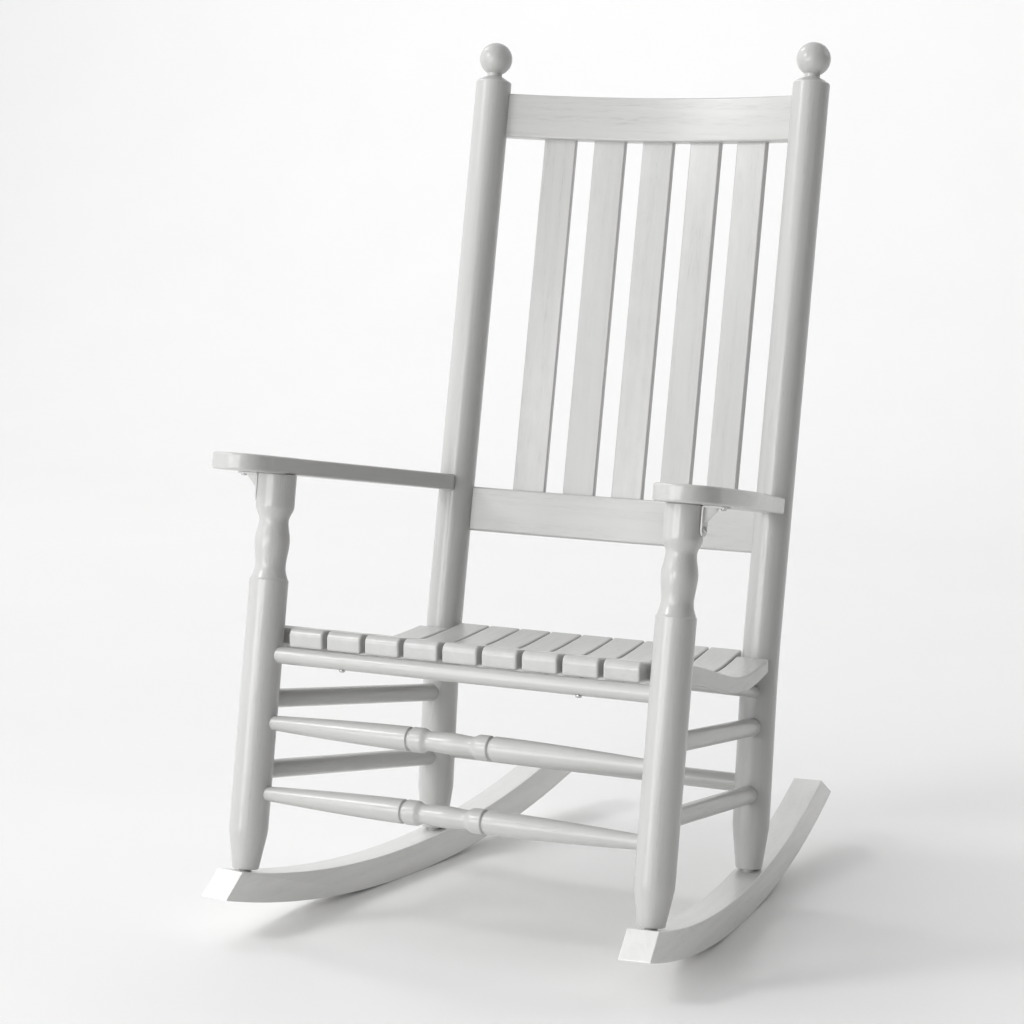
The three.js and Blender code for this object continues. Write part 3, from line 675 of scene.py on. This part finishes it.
def seat_slat(index):
    is_short = abs(index) > INNER_SLATS
    front = OUTER_SLAT_FRONT_Y if is_short else SEAT_FRONT_Y
    rear = OUTER_SLAT_REAR_Y if is_short else SEAT_REAR_Y
    bottom = [(y, seat_top_z(y) - seat_size(SLAT_THICK, y), 0) for y in spaced(front, rear, 48)]
    top = [(y, seat_top_z(y), 0) for y in spaced(rear, front + NOSING_R, 48)]
    crest = seat_top_z(front + NOSING_R)
    nosing = [
        (front + NOSING_R * (1 - math.sin(t)), crest - NOSING_R * (1 - math.cos(t)), 0)
        for t in spaced(0, math.pi / 2, 10)[1:]
    ]
    for line, end, radius in ((bottom, 0, 3.6), (bottom, -1, 3.6), (top, 0, 4)):
        line[end] = (*line[end][:2], radius)
    shape = board(rounded(bottom + top + nosing, closed=True), lambda y, z: seat_size(SLAT_WIDTH, y) / 2, 2.8)

    def place(p):
        return Vector((index * seat_size(SLAT_PITCH, p.x) + p.z, p.x, p.y))

    wooden(f"seat_slat_{index + INNER_SLATS + 2}", shape, place, along=0)


# ---- back ----
RAIL_HALF_SPAN = BACK_HALF_SPAN - POST_R + RAIL_END_DEPTH
BOW_R = (RAIL_HALF_SPAN ** 2 + BOW ** 2) / (2 * BOW)


def bow_at(x):
    return math.sqrt(BOW_R ** 2 - x ** 2) - (BOW_R - BOW)


def bowed_rail(node, extent):
    bottom, top = extent
    half = RAIL_THICK / 2
    radius = 2.6
    corners = [(-half, bottom), (half, bottom), (half, top), (-half, top)]
    section = rounded([(*corner, radius) for corner in corners], closed=True)
    shape = swept(section, spaced(-RAIL_HALF_SPAN, RAIL_HALF_SPAN, 64))
    wooden(node, shape, lambda p: on_back(p.z, p.y, RAIL_BACK + bow_at(p.z) - p.x))


def back_slat(index):
    middle = index * BACK_SLAT_PITCH + BACK_SLAT_SHIFT
    half = BACK_SLAT_WIDTH / 2
    bottom = LOWER_RAIL[1] - BACK_SLAT_DEPTH
    top = TOP_RAIL[0] + BACK_SLAT_DEPTH
    outline = rounded([(-half, bottom, 3), (half, bottom, 3), (half, top, 3), (-half, top, 3)], closed=True)
    shape = board(outline, lambda x, y: BACK_SLAT_THICK / 2, 2)
    facing = math.asin(middle / BOW_R)
    set_back = RAIL_BACK + BACK_SLAT_SET_BACK + bow_at(middle)

    def place(p):
        x = middle + p.x * math.cos(facing) + p.z * math.sin(facing)
        behind = set_back - p.x * math.sin(facing) + p.z * math.cos(facing)
        return on_back(x, p.y, behind)

    wooden(f"back_slat_{index + 3}", shape, place, along=1)


# ---- stretchers and round rails ----
def socketed(start, end):
    """The ends of a bar between two post axes, stopping SOCKET_DEPTH inside the posts."""
    inwards = (end - start).normalized() * (POST_R - SOCKET_DEPTH)
    return start + inwards, end - inwards


def bar(node, start, end, r):
    start, end = socketed(start, end)
    length = (end - start).length
    wooden(node, turned([(along, r, 0) for along in spaced(0, length, 8)], 48), aimed(start, end))


# From the middle out: a bulge, a neck, a ring and a groove, with the radius of each corner's rounding.
BEADS = eased((0, 13.9), (30, 12.3), 10) + eased((30, 12.3), (41, 15.9), 10)[1:]
BEADS += [(54.6, 15.9, 1.8), (56, 12.8, 0.7), (58.6, 12.8, 0.7), (60, 15.6, 0.9)]
TAPER_START = (62, 15.7)
TAPER_SWELL = 1.55  # above 1 the long taper bulges


def front_stretcher(node, z):
    start, end = socketed(front_axis(-1, z), front_axis(1, z))
    length = (end - start).length
    middle = length / 2 + BEAD_SHIFT
    r = FRONT_STRETCHER_END_R

    def half(reach):
        """From the middle to one end, by the distance from the middle."""
        start_z, start_r = TAPER_START
        taper = [
            (mix(start_z, reach - SOCKET_DEPTH, t), mix(start_r, r, t ** TAPER_SWELL), 0)
            for t in spaced(0, 1, 16)
        ]
        return [*BEADS, *taper, (reach, r, 0)]

    left = [(middle - along, bead_r, radius) for along, bead_r, radius in half(middle)[:0:-1]]
    right = [(middle + along, bead_r, radius) for along, bead_r, radius in half(length - middle)]
    wooden(node, turned(rounded(left + right), 72), aimed(start, end))


# ---- arms ----
ARM_UP = up_along(ARM_TILT)
ARM_BACK = rear_along(ARM_TILT)
ARM_SEAT = front_axis(0, FRONT_FOOT.z) + up_along(FRONT_LEAN) * ARM_UNDERSIDE


def on_arm(x, along, up):
    """A point by its X, its distance along the arm behind the front post's axis and above the underside."""
    return Vector((x, ARM_SEAT.y, ARM_SEAT.z)) + ARM_BACK * along + ARM_UP * up


def arm_end_along():
    """Where the arm stops, just short of the front of the back post at both its faces."""
    reaches = []
    for up in (0, ARM_THICK):
        to_axes = (Vector((0, BACK_POST_Y, BEND_Z)) - on_arm(0, 0, up)).dot(BEHIND_BACK)
        reaches.append((to_axes - POST_R) / ARM_BACK.dot(BEHIND_BACK))
    return min(reaches) - GAP


ARM_END = arm_end_along()


def bezier(p0, p1, p2, p3, steps):
    points = [Vector(p) for p in (p0, p1, p2, p3)]
    shares = [((1 - t) ** 3, 3 * t * (1 - t) ** 2, 3 * t * t * (1 - t), t ** 3) for t in spaced(0, 1, steps)]
    return [sum((p * s for p, s in zip(points, share)), Vector((0, 0))) for share in shares]


def arm(side):
    inner = ARM_NOSE_X - ARM_NOSE_R
    outer = ARM_NOSE_X + ARM_NOSE_R
    end_inner, end_outer = ARM_END_X
    waist_inner, waist_outer = ARM_WAIST_X
    waist = ARM_END * ARM_WAIST_SHARE
    swell = ARM_END * ARM_SWELL_SHARE
    inner_points = ((end_inner, ARM_END), (waist_inner, waist), (inner, swell), (inner, ARM_NOSE_ALONG))
    inner_side = bezier(*inner_points, 40)
    nose = [
        Vector((ARM_NOSE_X - ARM_NOSE_R * math.cos(t), ARM_NOSE_ALONG - ARM_NOSE_R * math.sin(t)))
        for t in spaced(0, math.pi, 48)[1:-1]
    ]
    outer_points = ((outer, ARM_NOSE_ALONG), (outer, swell), (waist_outer, waist), (end_outer, ARM_END))
    outer_side = bezier(*outer_points, 40)
    corners = [(p.x, p.y, 0) for p in inner_side + nose + outer_side]
    for end in (0, -1):
        corners[end] = (*corners[end][:2], ARM_CORNER)
    shape = board(rounded(corners, closed=True), lambda x, y: ARM_THICK / 2, ARM_EDGE)
    wooden(side_name("arm", side), shape, lambda p: on_arm(side * p.x, p.y, ARM_THICK / 2 + p.z), along=1)


# ---- steel fittings ----
def brace(side):
    """One pressed strap: a leg under the arm, a leg down the post, and a rib pressed up across the corner."""
    half = BRACE_WIDTH / 2
    bend_r = 3
    straight = BRACE_REACH - bend_r
    corner = math.pi / 2 * bend_r
    total = straight + corner + BRACE_DROP - bend_r
    rib_reach = 21
    rib_drop = 23
    rib_start = straight - (rib_reach - bend_r)
    rib_end = straight + corner + rib_drop - bend_r

    def on_path(s):
        """The outer surface at s along the strap from the tip under the arm, and the way in from it."""
        if s < straight:
            return Vector((BRACE_REACH - s, 0)), Vector((0, -1))
        if s > straight + corner:
            return Vector((0, straight + corner - bend_r - s)), Vector((1, 0))
        turn = (s - straight) / bend_r
        inwards = Vector((math.sin(turn), -math.cos(turn)))
        return Vector((bend_r, -bend_r)) - inwards * bend_r, inwards

    def width_at(s):
        from_end = min(s, total - s)
        return half if from_end > half else math.sqrt(max(half ** 2 - (half - from_end) ** 2, 0.04))

    ends = [half * (1 - math.cos(t)) for t in spaced(0.08, math.pi / 2, 12)]
    stations = ends + spaced(half + 1, straight, 14) + spaced(straight, straight + corner, 8)[1:]
    stations += spaced(straight + corner, total - half - 1, 16)[1:] + [total - s for s in reversed(ends)]
    # shares of the half width, from one edge to the other, closest where the rim and the rib's flanks are
    across = [1, 0.97, 0.9, 0.75, 0.62, 0.52, 0.42, 0.3, 0.15, 0]
    across = across + [-share for share in reversed(across[:-1])]
    rings = []
    for s in stations:
        surface, inwards = on_path(s)
        share = (s - rib_start) / (rib_end - rib_start)
        chord = Vector((mix(rib_reach, BRACE_THICK, share), mix(-BRACE_THICK, -rib_drop, share)))
        ring = []
        for width_share in across:
            rise = smooth((0.55 - abs(width_share)) / 0.35) if 0 < share < 1 else 0
            rim = 0.5 if abs(width_share) == 1 else 0
            inner = surface + inwards * (BRACE_THICK - rim)
            spot = inner.lerp(chord, rise * smooth(math.sin(math.pi * share) * 2) if rise else 0)
            ring.append((Vector((spot.x, width_share * width_at(s), spot.y)), 1 if rim else 0))
        for width_share in (-1, -0.94, 0.94, 1):
            rim = 0.5 if abs(width_share) == 1 else 0
            spot = surface + inwards * rim
            ring.append((Vector((spot.x, width_share * width_at(s), spot.y)), 1 if rim else 0))
        rings.append(ring)
    x = side * (FRONT_HALF_SPAN + BRACE_OFFSET)
    piece(
        side_name("arm_brace", side),
        rings,
        lambda p: on_arm(x + side * p.x, p.y, p.z - GAP),
        STEEL,
    )


def screw(node, seat, inwards, size):
    """A pan head screw with a cross recess. The head rests at seat and the shank runs inwards."""
    head_r, height, shank_r, length = (size[key] for key in ("head_r", "head_height", "shank_r", "length"))
    shank = [(length, shank_r * 0.3, 0), (length - shank_r, shank_r, 0), (0.02, shank_r, 0), (0, head_r, 0)]
    dome = [
        (-height * math.sin(t), head_r * mix(1, math.cos(t), 0.62), math.sin(2 * t))
        for t in spaced(0.15, math.pi / 2, 10)
    ]
    rings = turned([*shank, *dome], 96)
    top_r = dome[-1][1]
    for share in (0.92, 0.84, 0.76, 0.68, 0.6, 0.5, 0.42, 0.34, 0.26, 0.18, 0.1, 0.02):
        rings += turned([(-height - (1 - share) * height * 0.04, top_r * share, 0)], 96)
    arm_width = head_r * 0.13
    arm_length = head_r * 0.52

    def recessed(p):
        if p.z > -height * 0.95:
            return p
        narrow = min(abs(p.x), abs(p.y))
        wide = max(abs(p.x), abs(p.y))
        depth = smooth((arm_width * 1.5 - narrow) / arm_width)
        depth *= smooth((arm_length * 1.15 - wide) / (arm_length * 0.3))
        return Vector((p.x, p.y, p.z + depth * height * 0.55))

    lift = height * 0.04
    turn = aimed(seat, seat + inwards)

    def place(p):
        return turn(recessed(p) + Vector((0, 0, lift if p.z < -height else 0)))

    piece(node, rings, place, ZINC)


# ---- assembly ----
for side in SIDES:
    rocker(side)
    front_post(side)
    back_post(side)
    arm(side)
    brace(side)

for index in range(-INNER_SLATS - 1, INNER_SLATS + 2):
    seat_slat(index)

bowed_rail("top_rail", TOP_RAIL)
bowed_rail("lower_back_rail", LOWER_RAIL)
for index in range(-2, 3):
    back_slat(index)

bar("seat_rail_front", front_axis(-1, SEAT_RAIL_Z), front_axis(1, SEAT_RAIL_Z), FRONT_RAIL_R)
bar("seat_rail_rear", back_axis(-1, REAR_RAIL_Z), back_axis(1, REAR_RAIL_Z), REAR_RAIL_R)
bar("rear_stretcher", back_axis(-1, REAR_STRETCHER_Z), back_axis(1, REAR_STRETCHER_Z), STRETCHER_R)
for level, z in FRONT_STRETCHERS_Z.items():
    front_stretcher("front_stretcher_" + level, z)

for side in SIDES:
    rail_front_z, rail_back_z = SIDE_RAIL_Z
    ends = (front_axis(side, rail_front_z), back_axis(side, rail_back_z))
    bar(side_name("seat_rail", side), *ends, SIDE_RAIL_R)
    for level, (front_z, back_z) in SIDE_STRETCHERS_Z.items():
        name = side_name("side_stretcher_" + level, side)
        bar(name, front_axis(side, front_z), back_axis(side, back_z), STRETCHER_R)
    outside = FRONT_HALF_SPAN + BRACE_OFFSET
    under_arm_x = outside + BRACE_REACH - BRACE_WIDTH / 2
    under_arm = on_arm(side * under_arm_x, 0, -GAP - BRACE_THICK - GAP)
    screw(side_name("brace_screw_upper", side), under_arm, ARM_UP, BRACE_SCREW)
    beside_post = on_arm(side * (outside + BRACE_THICK + GAP), 0, -GAP - BRACE_DROP + BRACE_WIDTH / 2)
    screw(side_name("brace_screw_lower", side), beside_post, Vector((-side, 0, 0)), BRACE_SCREW)
    arm_height = (on_arm(0, ARM_END, ARM_THICK / 2) - on_back(0, 0, 0)).dot(ALONG_BACK)
    behind_post = on_back(side * BACK_HALF_SPAN, arm_height, POST_R)
    screw(side_name("arm_screw", side), behind_post, -BEHIND_BACK, ARM_SCREW)

for index in (-SCREWED_SLAT, SCREWED_SLAT):
    inwards = up_along(SEAT_SCREW_LEAN)
    on_rail = Vector((index * seat_size(SLAT_PITCH, FRONT_POST_Y), FRONT_POST_Y, SEAT_RAIL_Z))
    screw(side_name("seat_screw", index), on_rail - inwards * (FRONT_RAIL_R + GAP), inwards, SEAT_SCREW)


# ---- stage, lights and camera, in metres ----
def backdrop():
    """A pale sheet that lies on the floor and curves up behind the chair."""
    line = [(y, 0.0) for y in spaced(-7, 3, 10)]
    bend_r = 2.5
    line += [(3 + bend_r * math.sin(t), bend_r * (1 - math.cos(t))) for t in spaced(0, math.pi / 2, 24)[1:]]
    line += [(3 + bend_r, z) for z in spaced(bend_r, 7, 6)[1:]]
    half = 9
    mesh = bpy.data.meshes.new("backdrop")
    points = [(x, y, z) for y, z in line for x in (-half, half)]
    faces = [(2 * i, 2 * i + 1, 2 * i + 3, 2 * i + 2) for i in range(len(line) - 1)]
    mesh.from_pydata(points, [], faces)
    mesh.polygons.foreach_set("use_smooth", [True] * len(faces))
    n = Nodes("studio_floor")
    place = n.add("ShaderNodeTexCoord").outputs["Object"]
    mottle = n.noise(place, 3, detail=4)
    tone = n.blend(mottle, (0.9, 0.896, 0.892, 1), (0.93, 0.925, 0.92, 1))
    n.feed(n.shader, Base_Color=tone, Roughness=n.ranged(mottle, 0.3, 0.7, 0.5, 0.6), Specular_IOR_Level=0.3)
    mesh.materials.append(n.material)
    sheet = bpy.data.objects.new("backdrop", mesh)
    bpy.context.scene.collection.objects.link(sheet)


def area_light(name, position, target, size, power):
    lamp = bpy.data.lights.new(name, "AREA")
    lamp.shape = "RECTANGLE"
    lamp.size, lamp.size_y = size
    lamp.energy = power
    holder = bpy.data.objects.new(name, lamp)
    holder.location = position
    holder.rotation_euler = (Vector(target) - Vector(position)).to_track_quat("-Z", "Y").to_euler()
    bpy.context.scene.collection.objects.link(holder)


def world_light(strength, brightest):
    """Light from all round that is strongest from one direction and fades out on the far side."""
    world = bpy.data.worlds.new("studio")
    world.use_nodes = True
    tree = world.node_tree
    background = tree.nodes["Background"]
    background.inputs["Color"].default_value = (0.985, 0.992, 1, 1)
    facing = tree.nodes.new("ShaderNodeVectorMath")
    facing.operation = "DOT_PRODUCT"
    facing.inputs[1].default_value = Vector(brightest).normalized()
    fade = tree.nodes.new("ShaderNodeMapRange")
    fade.inputs["From Min"].default_value = -0.3
    fade.inputs["To Min"].default_value = 0.02
    fade.inputs["To Max"].default_value = strength
    tree.links.new(tree.nodes.new("ShaderNodeTexCoord").outputs["Generated"], facing.inputs[0])
    tree.links.new(facing.outputs["Value"], fade.inputs["Value"])
    tree.links.new(fade.outputs["Result"], background.inputs["Strength"])
    bpy.context.scene.world = world


CAMERA_PLACE = (1.7318, -3.5225, 1.1137)
CAMERA_TURN = math.radians(27.25)  # to the left of straight ahead
CAMERA_PITCH = math.radians(8.59)  # downwards
CAMERA_LENS = 104.86


def camera():
    lens = bpy.data.cameras.new("camera")
    lens.lens = CAMERA_LENS
    lens.sensor_width = 36
    holder = bpy.data.objects.new("camera", lens)
    holder.location = CAMERA_PLACE
    level = math.cos(CAMERA_PITCH)
    look = Vector((-math.sin(CAMERA_TURN) * level, math.cos(CAMERA_TURN) * level, -math.sin(CAMERA_PITCH)))
    holder.rotation_euler = look.to_track_quat("-Z", "Y").to_euler()
    bpy.context.scene.collection.objects.link(holder)
    bpy.context.scene.camera = holder


backdrop()
camera()
world_light(1.2, (-0.9, -0.4, 0.35))
area_light("key", (-2.4, -2.7, 2.9), (0, 0, 0.4), (1.0, 1.0), 44)
area_light("low_left", (-1.6, -3.6, 0.9), (0, 0, 0.3), (1.2, 1.2), 24)
area_light("front", (-0.3, -3.9, 1.4), (0, 0, 0.2), (1.2, 1.2), 28)
area_light("rear_right", (2.4, 1.8, 2.6), (0, 0, 0.4), (1.6, 1.6), 9)
area_light("wash_left", (-3.5, 1.2, 4.0), (-1.5, 5.4, 1.5), (2, 1.2), 64)
area_light("wash_middle", (0, 1.6, 4.6), (0, 4.6, 0.9), (5, 1.2), 15)
bpy.context.scene.view_settings.view_transform = "Standard"
